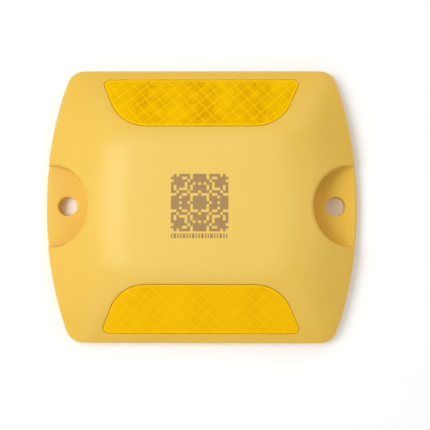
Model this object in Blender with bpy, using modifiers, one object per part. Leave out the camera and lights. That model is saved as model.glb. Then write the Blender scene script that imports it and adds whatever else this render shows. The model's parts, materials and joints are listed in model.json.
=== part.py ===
"""Raised pavement marker with a sealed radio beacon inside.

Frame: metres, +Z up, origin at the middle of the face that lies on the road.
X runs from ear to ear, and each reflector faces along Y.
"""

import math

import bmesh
import bpy
from mathutils import Matrix, Vector

MM = 0.001
GAP = 0.3 * MM  # between pieces that meet
FILM_GAP = 0.15 * MM  # between the thin layers of a reflector

# Casing: the footprint is two straight ends joined by two bowed sides.
LENGTH = 114.5 * MM
WIDTH = 100 * MM
HEIGHT = 22 * MM
SIDE_RADIUS = 140 * MM
SIDE_CENTRE = SIDE_RADIUS - LENGTH / 2
CORNER_BLEND = 3.8 * MM
SKIRT = 5.2 * MM  # height of the upright rim
RIM_RADIUS = 1.2 * MM
FACE_TAN = math.tan(math.radians(32))
SIDE_TAN = math.tan(math.radians(37))
CROWN_RADIUS = 900 * MM
SHOULDER_BLEND = 8.3 * MM
FACE_BLEND = 2.8 * MM
FACE_FLAT = 20 * MM  # half the length over which the face's blend stays narrow
HIP_GROWTH = 0.13  # how fast that blend widens towards a hip

# Walls, measured along Z.
ROOF = 2.8 * MM
SIDE_WALL = 3.5 * MM
FACE_WALL = 4.3 * MM

# Ears: a round pocket with a drafted wall and a bolt hole through its floor.
EAR_X = 55.5 * MM
EAR_RADIUS = 14.75 * MM
EAR_FLOOR = 4.5 * MM
EAR_DRAFT = math.tan(math.radians(5))
HOLE_X = 49.2 * MM
HOLE_RADIUS = 3.5 * MM

# Reflector seats, drawn in plan: a trapezium with a large radius on its inner corners.
SEAT_OUTER_Y = 46.2 * MM
SEAT_INNER_Y = 27.6 * MM
SEAT_HALF_LENGTH = 36.5 * MM
SEAT_LEAN = math.radians(24.5)
SEAT_OUTER_RADIUS = 2 * MM
SEAT_INNER_RADIUS = 14.3 * MM
SEAT_DEPTH = 1.6 * MM
ADHESIVE = 0.3 * MM
SHEET = 0.85 * MM

# Base: the cover sits in a rebate, under a ledge that holds the gasket.
COVER = 2.6 * MM
LEDGE = COVER + GAP
REBATE_INSET = 2.2 * MM
REBATE_EAR = 15.2 * MM
GROOVE_INSET = 3.1 * MM
GROOVE_EAR = 16.2 * MM
GROOVE_WIDTH = 2 * MM
GROOVE_DEPTH = 1.5 * MM
CAVITY_INSET = 6.2 * MM
CAVITY_EAR = 19 * MM
NOTCH_BLEND = 1.8 * MM
CELL_POCKET = 1 * MM  # depth of the honeycomb that keys the road adhesive
HEX_RADIUS = 5.6 * MM
HEX_PITCH = 11.4 * MM

# Screws.
COVER_SCREWS = [(x * MM, y * MM) for x, y in ((-42, -31), (0, -40), (42, -31), (42, 31), (0, 40), (-42, 31))]
COVER_BOSS = 3.5 * MM
COVER_PILOT_TOP = 8 * MM
COVER_HEAD = 2.7 * MM
COVER_SHANK = 1.3 * MM
BOARD_SCREWS = [(x * 33 * MM, y * 21 * MM) for x, y in ((-1, -1), (1, -1), (1, 1), (-1, 1))]
BOARD_BOSS = 2.6 * MM
BOARD_PILOT_TOP = 12.6 * MM
BOARD_HEAD = 1.75 * MM
BOARD_SHANK = 0.8 * MM

# Circuit board.
BOARD_LOW = 7 * MM
BOARD = 1.6 * MM
BOARD_TOP = BOARD_LOW + BOARD
BOARD_SIZE = (80 * MM, 70 * MM)
BOARD_EAR = 20 * MM
WINDOW_SIZE = (58 * MM, 31.5 * MM)

# Cells, side by side along X through the board's window.
CELL_RADIUS = 7.25 * MM
CELL_BODY = 49.5 * MM
CELL_NUB = 1 * MM
CELL_NUB_RADIUS = 2.75 * MM
CELL_Y = 7.6 * MM
CELL_Z = 10.25 * MM
CELL_END = 25.25 * MM
SADDLE_X = 17 * MM
SADDLE_TOP = 9 * MM
LINK = (0.3 * MM, 21 * MM, 6 * MM)

# Pieces on the board.
MODULE_SPOT = (0, 25.5 * MM)
SOCKET_SPOT = (14 * MM, -27 * MM)
SWITCH_SPOT = (-14 * MM, -27 * MM)
SWITCH_LOW = 4.2 * MM
BUTTON_RADIUS = 1.6 * MM
BUTTON_LOW = 3.4 * MM
BUTTON_TOP = 5.3 * MM
LEAD_RADIUS = 0.6 * MM

MATERIALS = {
    "casing_yellow": ((0.83, 0.55, 0.09), 0.42, 0.0),
    "reflector_yellow": ((0.88, 0.50, 0.005), 0.22, 0.0),
    "adhesive_white": ((0.80, 0.79, 0.75), 0.80, 0.0),
    "gasket_grey": ((0.10, 0.10, 0.11), 0.70, 0.0),
    "foam_black": ((0.03, 0.03, 0.03), 0.95, 0.0),
    "steel": ((0.62, 0.62, 0.60), 0.30, 1.0),
    "nickel": ((0.66, 0.64, 0.58), 0.35, 1.0),
    "board_green": ((0.02, 0.16, 0.07), 0.40, 0.0),
    "module_black": ((0.02, 0.02, 0.025), 0.45, 0.0),
    "ceramic": ((0.70, 0.66, 0.58), 0.50, 0.0),
    "connector_white": ((0.82, 0.80, 0.72), 0.50, 0.0),
    "aluminium_can": ((0.75, 0.75, 0.76), 0.30, 1.0),
    "led_clear": ((0.80, 0.90, 0.80), 0.15, 0.0),
    "cell_sleeve": ((0.05, 0.16, 0.35), 0.35, 0.0),
    "lead_red": ((0.55, 0.02, 0.02), 0.45, 0.0),
    "lead_black": ((0.02, 0.02, 0.02), 0.45, 0.0),
}

PARTS = "pavement_marker"
CUTTERS = "cutters"


# Scene, materials and small shapes


def clear_scene():
    for obj in list(bpy.data.objects):
        bpy.data.objects.remove(obj, do_unlink=True)
    for name in (PARTS, CUTTERS):
        bpy.context.scene.collection.children.link(bpy.data.collections.new(name))


def material(name):
    found = bpy.data.materials.get(name)
    if found:
        return found
    colour, roughness, metallic = MATERIALS[name]
    made = bpy.data.materials.new(name)
    made.use_nodes = True
    shader = made.node_tree.nodes["Principled BSDF"]
    shader.inputs["Base Color"].default_value = (*colour, 1)
    shader.inputs["Roughness"].default_value = roughness
    shader.inputs["Metallic"].default_value = metallic
    return made


def place(name, data, finish=None, at=(0, 0, 0)):
    """Link mesh or curve data as a part in that finish, or as a hidden cutter if it has none."""
    obj = bpy.data.objects.new(name, data)
    obj.location = at
    bpy.data.collections[PARTS if finish else CUTTERS].objects.link(obj)
    if finish:
        data.materials.append(material(finish))
    else:
        obj.hide_render = True
        obj.display_type = "WIRE"
    return obj


def place_bmesh(name, bm, finish=None, at=(0, 0, 0), sharp=35):
    bmesh.ops.recalc_face_normals(bm, faces=bm.faces)
    mesh = bpy.data.meshes.new(name)
    bm.to_mesh(mesh)
    bm.free()
    mesh.shade_smooth()
    mesh.set_sharp_from_angle(angle=math.radians(sharp))
    return place(name, mesh, finish, at)


def box(name, size, at, finish=None):
    bm = bmesh.new()
    bmesh.ops.create_cube(bm, size=1, matrix=Matrix.Diagonal((*size, 1)))
    return place_bmesh(name, bm, finish, at)


def rod(name, radius, low, high, spot=(0, 0), finish=None, top_radius=None, sides=24):
    """An upright cylinder, or a cone if top_radius is given, from z = low to z = high."""
    bm = bmesh.new()
    top_radius = radius if top_radius is None else top_radius
    bmesh.ops.create_cone(
        bm, cap_ends=True, segments=sides, radius1=radius, radius2=top_radius, depth=high - low
    )
    return place_bmesh(name, bm, finish, (*spot, (low + high) / 2))


def boolean(obj, other, operation):
    modifier = obj.modifiers.new(other.name, "BOOLEAN")
    modifier.operation = operation
    modifier.object = other
    modifier.solver = "EXACT"


def cut(obj, *cutters):
    for cutter in cutters:
        boolean(obj, cutter, "DIFFERENCE")


def join(obj, *others):
    for other in others:
        boolean(obj, other, "UNION")


def bevel(obj, width, segments=2, limit=40):
    modifier = obj.modifiers.new("rounded_edges", "BEVEL")
    modifier.width = width
    modifier.segments = segments
    modifier.limit_method = "ANGLE"
    modifier.angle_limit = math.radians(limit)


def curve_mesh(name, curve):
    """The mesh of a curve, with its loose caps welded on."""
    guide = place(name + "_curve", curve)
    bpy.context.view_layer.update()
    graph = bpy.context.evaluated_depsgraph_get()
    mesh = bpy.data.meshes.new_from_object(guide.evaluated_get(graph))
    bpy.data.objects.remove(guide)
    bm = bmesh.new()
    bm.from_mesh(mesh)
    bmesh.ops.remove_doubles(bm, verts=bm.verts, dist=0.001 * MM)
    return bm


def plate_bmesh(name, outline, low, high):
    """A flat plate of that outline, from z = low to z = high."""
    curve = bpy.data.curves.new(name, "CURVE")
    curve.dimensions = "2D"
    curve.fill_mode = "BOTH"
    curve.extrude = (high - low) / 2
    spline = curve.splines.new("POLY")
    spline.points.add(len(outline) - 1)
    for point, (x, y) in zip(spline.points, outline):
        point.co = (x, y, 0, 1)
    spline.use_cyclic_u = True
    bm = curve_mesh(name, curve)
    bmesh.ops.translate(bm, verts=bm.verts, vec=(0, 0, (low + high) / 2))
    return bm


def plate(name, outline, low, high, finish=None):
    return place_bmesh(name, plate_bmesh(name, outline, low, high), finish)


def filleted(corners, radii, steps=5):
    """A closed outline whose corners are arcs of those radii."""
    outline = []
    for i, (corner, radius) in enumerate(zip(corners, radii)):
        back = (Vector(corners[i - 1]) - Vector(corner)).normalized()
        ahead = (Vector(corners[(i + 1) % len(corners)]) - Vector(corner)).normalized()
        half = back.angle(ahead) / 2
        centre = Vector(corner) + (back + ahead).normalized() * radius / math.sin(half)
        first = Vector(corner) + back * radius / math.tan(half) - centre
        last = Vector(corner) + ahead * radius / math.tan(half) - centre
        turn = math.atan2(first.cross(last), first.dot(last))
        for step in range(steps + 1):
            outline.append(centre + Matrix.Rotation(turn * step / steps, 2) @ first)
    return outline


def rectangle(size, radius, centre=(0, 0)):
    x, y = size[0] / 2, size[1] / 2
    signs = ((-1, -1), (1, -1), (1, 1), (-1, 1))
    corners = [(centre[0] + x * i, centre[1] + y * j) for i, j in signs]
    return filleted(corners, [radius] * 4, steps=3)


def mirrored(positive):
    """Stations on both sides of zero, from those that are not negative."""
    return [-value for value in reversed(positive[1:])] + positive


# Form of the casing


def soft_min(a, b, blend):
    """The lower of a and b, rounded off where they are within blend of each other."""
    overlap = max(blend - abs(a - b), 0) / blend
    return min(a, b) - overlap**2 * blend / 4


def half_length(y, inset=0.0, ear=0.0):
    """Half the length of the footprint at y, drawn in by inset and notched round each ear."""
    depth = min(max(WIDTH / 2 - inset - abs(y), 0), CORNER_BLEND)
    drop = CORNER_BLEND - math.sqrt(CORNER_BLEND**2 - (CORNER_BLEND - depth) ** 2)
    half = math.sqrt((SIDE_RADIUS - inset - drop) ** 2 - y**2) - SIDE_CENTRE
    if abs(y) < ear:
        half = soft_min(half, EAR_X - math.sqrt(ear**2 - y**2), NOTCH_BLEND)
    return half


def face_height(y):
    """Height of the sloping face that carries a reflector."""
    return SKIRT + (WIDTH / 2 - abs(y)) * FACE_TAN


def form_height(x, y, roof=0.0, side=0.0, face=0.0):
    """Height of the domed form, with each of its surfaces lowered by a wall."""
    crown = HEIGHT - (x**2 + y**2) / (2 * CROWN_RADIUS) - roof
    inwards = SIDE_RADIUS - math.hypot(abs(x) + SIDE_CENTRE, y)
    flank = SKIRT + inwards * SIDE_TAN - side
    blend = FACE_BLEND + HIP_GROWTH * max(abs(x) - FACE_FLAT, 0)
    return soft_min(soft_min(crown, flank, SHOULDER_BLEND), face_height(y) - face, blend)


def outer_height(x, y):
    """Height of the casing's outer skin, which rounds over at the rim."""
    end = WIDTH / 2 - abs(y)
    side = SIDE_RADIUS - math.hypot(abs(x) + SIDE_CENTRE, y)
    inwards = min(end, side)
    if max(end, side) < CORNER_BLEND:
        inwards = CORNER_BLEND - math.hypot(CORNER_BLEND - end, CORNER_BLEND - side)
    short = RIM_RADIUS - min(max(inwards, 0), RIM_RADIUS)
    return form_height(x, y) - RIM_RADIUS + math.sqrt(RIM_RADIUS**2 - short**2)


def cavity_height(x, y):
    return form_height(x, y, ROOF, SIDE_WALL, FACE_WALL)


def dome_bmesh(low, height, shares, rows, inset=0.0, ear=0.0):
    """A block with a domed top: a grid fitted to the footprint, raised by a formula and closed below."""
    bm = bmesh.new()
    columns = len(shares) - 1
    bmesh.ops.create_grid(bm, x_segments=columns, y_segments=len(rows) - 1, size=1)
    for vert in bm.verts:
        y = rows[round((vert.co.y + 1) / 2 * (len(rows) - 1))]
        x = shares[round((vert.co.x + 1) / 2 * columns)] * half_length(y, inset, ear)
        vert.co = (x, y, height(x, y))
    rim = [edge for edge in bm.edges if edge.is_boundary]
    wall = bmesh.ops.extrude_edge_only(bm, edges=rim)["geom"]
    for vert in wall:
        if isinstance(vert, bmesh.types.BMVert):
            vert.co.z = low
    foot = [edge for edge in bm.edges if edge.is_boundary]
    bmesh.ops.edgeloop_fill(bm, edges=foot)
    bmesh.ops.recalc_face_normals(bm, faces=bm.faces)
    bmesh.ops.dissolve_limit(bm, angle_limit=math.radians(0.02), verts=bm.verts, edges=bm.edges)
    bmesh.ops.triangulate(bm, faces=bm.faces)
    return bm


def footprint(inset, ear, ear_steps=14):
    """Outline of the base drawn in by inset, with a round notch at each ear."""
    top = WIDTH / 2 - inset
    corner = [top - CORNER_BLEND * (1 - math.cos(math.radians(a))) for a in (0, 30, 60, 90)]
    notch = [ear * math.sin(math.pi / 2 * step / ear_steps) for step in range(ear_steps, -1, -1)]
    rows = corner + [top * 0.7, top * 0.5] + notch
    rows += [-y for y in reversed(rows[:-1])]
    right = [(half_length(y, inset, ear), y) for y in rows]
    return right + [(-x, y) for x, y in reversed(right)]


def seat_outline(inset):
    """Plan of the rear reflector's seat, drawn in by inset."""
    outer = SEAT_OUTER_Y - inset
    inner = SEAT_INNER_Y + inset
    corners = []
    for y in (outer, inner):
        half = SEAT_HALF_LENGTH - (SEAT_OUTER_Y - y) * math.tan(SEAT_LEAN) - inset / math.cos(SEAT_LEAN)
        corners += [(half, y), (-half, y)]
    corners = [corners[1], corners[0], corners[2], corners[3]]
    small, large = SEAT_OUTER_RADIUS - inset, SEAT_INNER_RADIUS - inset
    return filleted(corners, [small, small, large, large], steps=8)


def face_plate(name, end, inset, low, high, finish=None):
    """A plate parallel to a sloping face, from low to high above it. end is 1 at the rear, -1 in front."""
    bm = plate_bmesh(name, seat_outline(inset), 0, 1)
    for vert in bm.verts:
        vert.co.z = face_height(vert.co.y) + (high if vert.co.z > 0.5 else low)
        vert.co.y *= end
    return place_bmesh(name, bm, finish)


# Casing, base and reflectors


def make_cavity():
    """The hollow inside the casing, less the bosses and ribs that hang from its roof."""
    rows = mirrored([y * MM for y in (0, 10, 18.6, 23, 27.6, 33, 39, 43.8)])
    shares = mirrored([0, 0.2, 0.4, 0.52, 0.64, 0.76, 0.88, 1])
    bm = dome_bmesh(LEDGE - GAP, cavity_height, shares, rows, CAVITY_INSET, CAVITY_EAR)
    cavity = place_bmesh("cavity", bm)
    for i, spot in enumerate(COVER_SCREWS):
        cut(cavity, rod(f"cover_boss_{i}", COVER_BOSS, LEDGE, HEIGHT, spot))
    for i, spot in enumerate(BOARD_SCREWS):
        cut(cavity, rod(f"board_boss_{i}", BOARD_BOSS, BOARD_TOP + GAP, HEIGHT, spot, sides=16))
    low = 12 * MM
    for i, (x, y) in enumerate([(x, y) for x in (-26, -13, 13, 26) for y in (-1, 1)]):
        at = (x * MM, y * 29 * MM, (low + HEIGHT) / 2)
        cut(cavity, box(f"rib_{i}", (1.8 * MM, 22 * MM, HEIGHT - low), at))
    return cavity


def make_top_shell():
    rows = [0, 9.3, 18.6, 20.9, 23.1, 25.4, 27.6, 31, 35, 39, 43, 46.2, 47.2, 48.1, 48.9, 49.5, 49.87, 50]
    columns = [0, 8, 16, 24, 28, 31.7, 35.3, 39, 42.7, 46.3, 50, 54, 56.05, 56.65, 57.05, 57.25]
    shares = mirrored([x * MM / (LENGTH / 2) for x in columns])
    bm = dome_bmesh(0, outer_height, shares, mirrored([y * MM for y in rows]))
    shell = place_bmesh("top_shell", bm, "casing_yellow", sharp=25)
    cut(shell, make_cavity())
    below = -COVER
    cut(shell, plate("rebate", footprint(REBATE_INSET, REBATE_EAR), below, LEDGE))
    groove_top = LEDGE + GROOVE_DEPTH
    groove = plate("groove", footprint(GROOVE_INSET, GROOVE_EAR), COVER, groove_top)
    core = footprint(GROOVE_INSET + GROOVE_WIDTH, GROOVE_EAR + GROOVE_WIDTH)
    cut(groove, plate("groove_core", core, COVER - GAP, groove_top + GAP))
    cut(shell, groove)
    wall = HEIGHT - EAR_FLOOR
    for side, sign in (("left", -1), ("right", 1)):
        mouth = EAR_RADIUS + wall * EAR_DRAFT
        ear = (sign * EAR_X, 0)
        cut(shell, rod(f"pocket_{side}", EAR_RADIUS, EAR_FLOOR, HEIGHT, ear, None, mouth, 48))
        cut(shell, rod(f"bolt_hole_{side}", HOLE_RADIUS, below, HEIGHT, (sign * HOLE_X, 0), sides=32))
    for name, end in (("rear_seat", 1), ("front_seat", -1)):
        cut(shell, face_plate(name, end, 0, -SEAT_DEPTH, SEAT_DEPTH))
    for i, spot in enumerate(COVER_SCREWS):
        cut(shell, rod(f"cover_pilot_{i}", COVER_SHANK + GAP, COVER, COVER_PILOT_TOP, spot, sides=12))
    for i, spot in enumerate(BOARD_SCREWS):
        cut(shell, rod(f"board_pilot_{i}", BOARD_SHANK + GAP, BOARD_TOP, BOARD_PILOT_TOP, spot, sides=12))


def make_gasket():
    inset, ear = GROOVE_INSET + GAP, GROOVE_EAR + GAP
    width = GROOVE_WIDTH - 2 * GAP
    top = LEDGE + GROOVE_DEPTH - GAP
    gasket = plate("cover_gasket", footprint(inset, ear), LEDGE, top, "gasket_grey")
    core = footprint(inset + width, ear + width)
    cut(gasket, plate("gasket_core", core, COVER, top + GAP))


def honeycomb():
    """Hexagonal keys for the road adhesive, as one cutter of separate prisms."""
    bm = bmesh.new()
    row_pitch = HEX_PITCH * math.sqrt(3) / 2
    for row in range(-3, 4):
        for column in range(-3, 4):
            x = (column + (row % 2) / 2) * HEX_PITCH
            y = row * row_pitch
            clear = all(math.hypot(x - a, y - b) > HEX_RADIUS + COVER_HEAD for a, b in COVER_SCREWS)
            if clear and abs(x) + HEX_RADIUS < half_length(y, REBATE_INSET, CAVITY_EAR):
                turn = Matrix.Translation((x, y, 0)) @ Matrix.Rotation(math.pi / 6, 4, "Z")
                bmesh.ops.create_cone(
                    bm, cap_ends=True, segments=6, radius1=HEX_RADIUS, radius2=HEX_RADIUS,
                    depth=2 * CELL_POCKET, matrix=turn,
                )
    return place_bmesh("honeycomb", bm)


def make_base_cover():
    outline = footprint(REBATE_INSET + GAP, REBATE_EAR + GAP)
    cover = plate("base_cover", outline, 0, COVER, "casing_yellow")
    for side, sign in (("left", -1), ("right", 1)):
        middle = (COVER / 2 + SADDLE_TOP) / 2
        size = (2 * MM, 4 * CELL_Y - 2 * MM, SADDLE_TOP - COVER / 2)
        saddle = box(f"saddle_{side}", size, (sign * SADDLE_X, 0, middle))
        for cell in (-1, 1):
            bed = rod(f"bed_{side}_{cell}", CELL_RADIUS + GAP, -SADDLE_X, SADDLE_X, sides=32)
            bed.rotation_euler.y = math.pi / 2
            bed.location = (sign * SADDLE_X, cell * CELL_Y, CELL_Z)
            cut(saddle, bed)
        join(cover, saddle)
    cut(cover, honeycomb())
    for i, spot in enumerate(COVER_SCREWS):
        hole = COVER_SHANK + GAP
        head = COVER_HEAD + GAP
        cut(cover, rod(f"cover_hole_{i}", hole, -COVER, 2 * COVER, spot, sides=20))
        cut(cover, rod(f"countersink_{i}", head + COVER / 2, -COVER / 2, head - hole, spot, None, hole, 20))


def cross_recess(name, at, size, depth):
    """The cross slot of a screw's head."""
    slot = box(name, (size, size / 4, depth), at)
    join(slot, box(name + "_across", (size / 4, size, depth), at))
    return slot


def make_cover_screws():
    """Countersunk screws that hold the base cover to the casing's bosses."""
    for i, spot in enumerate(COVER_SCREWS):
        low, neck = GAP, GAP + COVER_HEAD - COVER_SHANK
        screw = rod(f"cover_screw_{i + 1}", COVER_HEAD, low, neck, spot, "steel", COVER_SHANK, 20)
        join(screw, rod(f"cover_shank_{i}", COVER_SHANK, neck - GAP, COVER_PILOT_TOP - 2 * GAP, spot, sides=12))
        cut(screw, cross_recess(f"cover_slot_{i}", (*spot, low), 3 * MM, 1.6 * MM))


def make_board_screws():
    """Pan head screws that hold the circuit board up against its bosses."""
    for i, spot in enumerate(BOARD_SCREWS):
        top = BOARD_LOW - GAP
        screw = rod(f"board_screw_{i + 1}", BOARD_HEAD, top - 1.3 * MM, top, spot, "steel", sides=16)
        bevel(screw, 0.35 * MM)
        join(screw, rod(f"board_shank_{i}", BOARD_SHANK, top - GAP, BOARD_PILOT_TOP - 2 * GAP, spot, sides=12))
        cut(screw, cross_recess(f"board_slot_{i}", (*spot, top - 1.3 * MM), 2 * MM, 1.2 * MM))


def make_reflectors():
    """Each reflector is a prismatic sheet on a pad of adhesive, in a seat of the casing."""
    for name, end in (("rear", 1), ("front", -1)):
        low = FILM_GAP - SEAT_DEPTH
        face_plate(f"{name}_reflector_adhesive", end, 2 * GAP, low, low + ADHESIVE, "adhesive_white")
        low += ADHESIVE + FILM_GAP
        face_plate(f"{name}_reflector_sheet", end, GAP, low, low + SHEET, "reflector_yellow")


# Electronics


def make_circuit_board():
    outline = rectangle(BOARD_SIZE, 2 * MM)
    board = plate("circuit_board", outline, BOARD_LOW, BOARD_TOP, "board_green")
    low, high = BOARD_LOW - BOARD, BOARD_TOP + BOARD
    cut(board, plate("board_window", rectangle(WINDOW_SIZE, 1.5 * MM), low, high))
    for side, sign in (("left", -1), ("right", 1)):
        cut(board, rod(f"board_ear_{side}", BOARD_EAR, low, high, (sign * EAR_X, 0), sides=48))
    for i, spot in enumerate(COVER_SCREWS):
        cut(board, rod(f"board_notch_{i}", COVER_BOSS + 3 * GAP, low, high, spot))
    for i, spot in enumerate(BOARD_SCREWS):
        cut(board, rod(f"board_hole_{i}", BOARD_SHANK + GAP, low, high, spot, sides=16))


def on_board(name, size, spot, finish, base=BOARD_TOP + GAP, rounding=0.2 * MM):
    """A boxy component whose underside is at z = base."""
    part = box(name, size, (*spot, base + size[2] / 2), finish)
    if rounding:
        bevel(part, rounding, segments=1)
    return part


def make_radio():
    """The radio module: a small board with a shield can at one end and its antenna at the other."""
    x, y = MODULE_SPOT
    on_board("radio_module_board", (18 * MM, 12 * MM, 0.8 * MM), MODULE_SPOT, "board_green", rounding=0)
    top = BOARD_TOP + 2 * GAP + 0.8 * MM
    on_board("radio_shield_can", (11 * MM, 10.4 * MM, 1.5 * MM), (x - 2.9 * MM, y), "steel", top)
    on_board("chip_antenna", (2 * MM, 7 * MM, 0.9 * MM), (x + 6.5 * MM, y), "ceramic", top, 0.1 * MM)
    on_board("timing_crystal", (3.2 * MM, 1.6 * MM, 0.9 * MM), (x - 17 * MM, y), "steel")


def make_capacitor():
    spot = (19.5 * MM, MODULE_SPOT[1])
    base = BOARD_TOP + GAP
    foot = on_board("storage_capacitor", (6.6 * MM, 6.6 * MM, 1 * MM), spot, "aluminium_can", base, 0.5 * MM)
    can = rod("capacitor_can", 3.15 * MM, base + 0.5 * MM, base + 5.4 * MM, spot, sides=24)
    bevel(can, 0.3 * MM)
    join(foot, can)


def make_wake_switch():
    """A push switch under the board, reached with the base cover off. Its button slides up to press."""
    top = BOARD_LOW - GAP
    height = top - SWITCH_LOW
    body = on_board("wake_switch_body", (6 * MM, 6 * MM, height), SWITCH_SPOT, "module_black", SWITCH_LOW)
    bore = BUTTON_TOP + 2 * GAP
    cut(body, rod("button_bore", BUTTON_RADIUS + GAP, BUTTON_LOW, bore, SWITCH_SPOT, sides=20))
    button = rod("wake_switch_button", BUTTON_RADIUS, BUTTON_LOW, BUTTON_TOP, SWITCH_SPOT, "lead_red", sides=20)
    bevel(button, 0.2 * MM, segments=1)
    led = (1.6 * MM, 0.8 * MM, 0.7 * MM)
    led_base = BOARD_LOW - GAP - led[2]
    on_board("status_led", led, (0, SWITCH_SPOT[1]), "led_clear", led_base, 0.1 * MM)


def make_battery_connector():
    """A side entry socket under the board, open towards the middle, and the plug in it."""
    x, y = SOCKET_SPOT
    top = BOARD_LOW - GAP
    size = (8 * MM, 7 * MM, 3.6 * MM)
    socket = on_board("battery_socket", size, SOCKET_SPOT, "connector_white", top - size[2], 0.25 * MM)
    mouth = (6.4 * MM, 6 * MM, 2.4 * MM)
    shift = size[1] / 2 - mouth[1] / 2 + 1 * MM
    middle = top - size[2] / 2
    cut(socket, box("socket_mouth", mouth, (x, y + shift, middle)))
    plug = (mouth[0] - 2 * GAP, mouth[1] + 0.4 * MM, mouth[2] - 2 * GAP)
    back = y + shift - mouth[1] / 2 + GAP
    body = box("battery_plug", plug, (x, back + plug[1] / 2, middle), "connector_white")
    end = back + plug[1]
    for i, side in enumerate((-1, 1)):
        spot = (x + side * 1.25 * MM, end, middle)
        bore = rod(f"crimp_bore_{i}", LEAD_RADIUS + GAP / 2, 0, 4 * MM, sides=12)
        bore.rotation_euler.x = math.pi / 2
        bore.location = spot
        cut(body, bore)
    return end, middle


def make_cells():
    for i, side in enumerate((-1, 1)):
        middle = (CELL_END - CELL_NUB) - CELL_BODY / 2
        cell = rod(f"battery_cell_{i + 1}", CELL_RADIUS, -CELL_BODY / 2, CELL_BODY / 2, finish="cell_sleeve", sides=32)
        cell.location = (middle, side * CELL_Y, CELL_Z)
        cell.rotation_euler.y = math.pi / 2
        bevel(cell, 0.8 * MM)
        nub = rod(f"cell_nub_{i}", CELL_NUB_RADIUS, -CELL_NUB, CELL_NUB, sides=24)
        nub.rotation_euler.y = math.pi / 2
        nub.location = (CELL_END - CELL_NUB, side * CELL_Y, CELL_Z)
        join(cell, nub)
    for name, sign in (("cell_link_positive", 1), ("cell_link_negative", -1)):
        x = sign * (CELL_END + GAP + LINK[0] / 2)
        box(name, LINK, (x, 0, CELL_Z), "nickel")


def make_foam_pad():
    low = CELL_Z + CELL_RADIUS + GAP
    outline = rectangle((46 * MM, 27 * MM), 2 * MM)
    plate("cell_foam_pad", outline, low, low + 0.7 * MM, "foam_black")


def lead(name, route, finish):
    """A round lead that follows a smooth curve through the route's points."""
    guide = bpy.data.curves.new(name, "CURVE")
    guide.dimensions = "3D"
    guide.bevel_depth = LEAD_RADIUS
    guide.bevel_resolution = 2
    guide.use_fill_caps = True
    smooth = spline_through([Vector(point) * MM for point in route])
    spline = guide.splines.new("POLY")
    spline.points.add(len(smooth) - 1)
    for point, where in zip(spline.points, smooth):
        point.co = (*where, 1)
    return place(name, guide, finish)


def spline_through(points, steps=4):
    """Points along a Catmull-Rom curve through the given ones."""
    ends = [2 * points[0] - points[1], *points, 2 * points[-1] - points[-2]]
    curve = []
    for a, b, c, d in zip(ends, ends[1:], ends[2:], ends[3:]):
        for step in range(steps):
            t = step / steps
            bend = (3 * (b - c) + d - a) * t + 2 * a - 5 * b + 4 * c - d
            curve.append(b + 0.5 * t * (c - a + t * bend))
    return curve + [points[-1]]


def make_leads(plug_end, plug_z):
    """Leads from the links at the cells' ends, under the board, into the plug."""
    x, end, z = (value / MM for value in (SOCKET_SPOT[0], plug_end, plug_z))
    link = (CELL_END + 2 * GAP + LINK[0] + LEAD_RADIUS) / MM
    red = [(link, -6, 9), (link, -9, 7.2), (link - 0.8, -12.5, 5.4), (link - 3.5, -15, z)]
    red += [(x + 6.5, -15.9, z), (x + 2.6, -16.7, z), (x + 1.25, -19, z), (x + 1.25, end - 1, z)]
    black = [(-link, -6, 9), (-link, -9, 7.2), (-link + 0.8, -12.5, 5.4), (-link + 4, -15.5, z)]
    black += [(-14, -17.2, z), (0, -17.8, z), (x - 5.5, -17.6, z), (x - 2.2, -18.1, z)]
    black += [(x - 1.25, -19.8, z), (x - 1.25, end - 1, z)]
    lead("battery_lead_positive", red, "lead_red")
    lead("battery_lead_negative", black, "lead_black")


def main():
    clear_scene()
    make_top_shell()
    make_base_cover()
    make_gasket()
    make_cover_screws()
    make_reflectors()
    make_circuit_board()
    make_board_screws()
    make_radio()
    make_capacitor()
    make_wake_switch()
    make_cells()
    make_foam_pad()
    make_leads(*make_battery_connector())


main()
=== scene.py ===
"""Looks of the raised pavement marker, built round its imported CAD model."""

import json
import math

import bmesh
import bpy
import numpy as np
from mathutils import Matrix, Vector
from mathutils.geometry import delaunay_2d_cdt


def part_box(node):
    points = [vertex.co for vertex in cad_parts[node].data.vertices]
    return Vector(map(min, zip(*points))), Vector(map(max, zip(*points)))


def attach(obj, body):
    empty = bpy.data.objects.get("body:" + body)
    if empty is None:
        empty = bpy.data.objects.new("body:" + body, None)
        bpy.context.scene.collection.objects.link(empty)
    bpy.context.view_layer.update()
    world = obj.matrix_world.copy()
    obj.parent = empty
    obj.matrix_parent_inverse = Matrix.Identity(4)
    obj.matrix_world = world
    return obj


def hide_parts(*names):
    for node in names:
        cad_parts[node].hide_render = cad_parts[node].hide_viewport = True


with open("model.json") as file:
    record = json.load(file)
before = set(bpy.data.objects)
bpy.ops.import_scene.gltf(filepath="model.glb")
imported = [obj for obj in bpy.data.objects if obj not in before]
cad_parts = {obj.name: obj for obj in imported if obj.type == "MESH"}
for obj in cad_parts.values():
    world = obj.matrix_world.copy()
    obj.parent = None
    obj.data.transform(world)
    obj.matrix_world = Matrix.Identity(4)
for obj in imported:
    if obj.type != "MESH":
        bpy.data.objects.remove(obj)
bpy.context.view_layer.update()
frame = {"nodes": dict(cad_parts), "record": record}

MM = 0.001
BODY = "marker"

# Lengths are in millimetres unless a comment says otherwise.
GAP = 0.3

# Form of the casing.
LENGTH = 114.5
WIDTH = 100.0
HEIGHT = 21.97
SIDE_RADIUS = 140.0
SIDE_CENTRE = SIDE_RADIUS - LENGTH / 2
CORNER_BLEND = 3.8
SKIRT = 5.2
RIM_RADIUS = 1.2
FACE_TAN = math.tan(math.radians(32))
SIDE_TAN = math.tan(math.radians(37))
CROWN_RADIUS = 900.0
SHOULDER_BLEND = 8.3
FACE_BLEND = 2.8
FACE_FLAT = 20.0
HIP_GROWTH = 0.13

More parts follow.
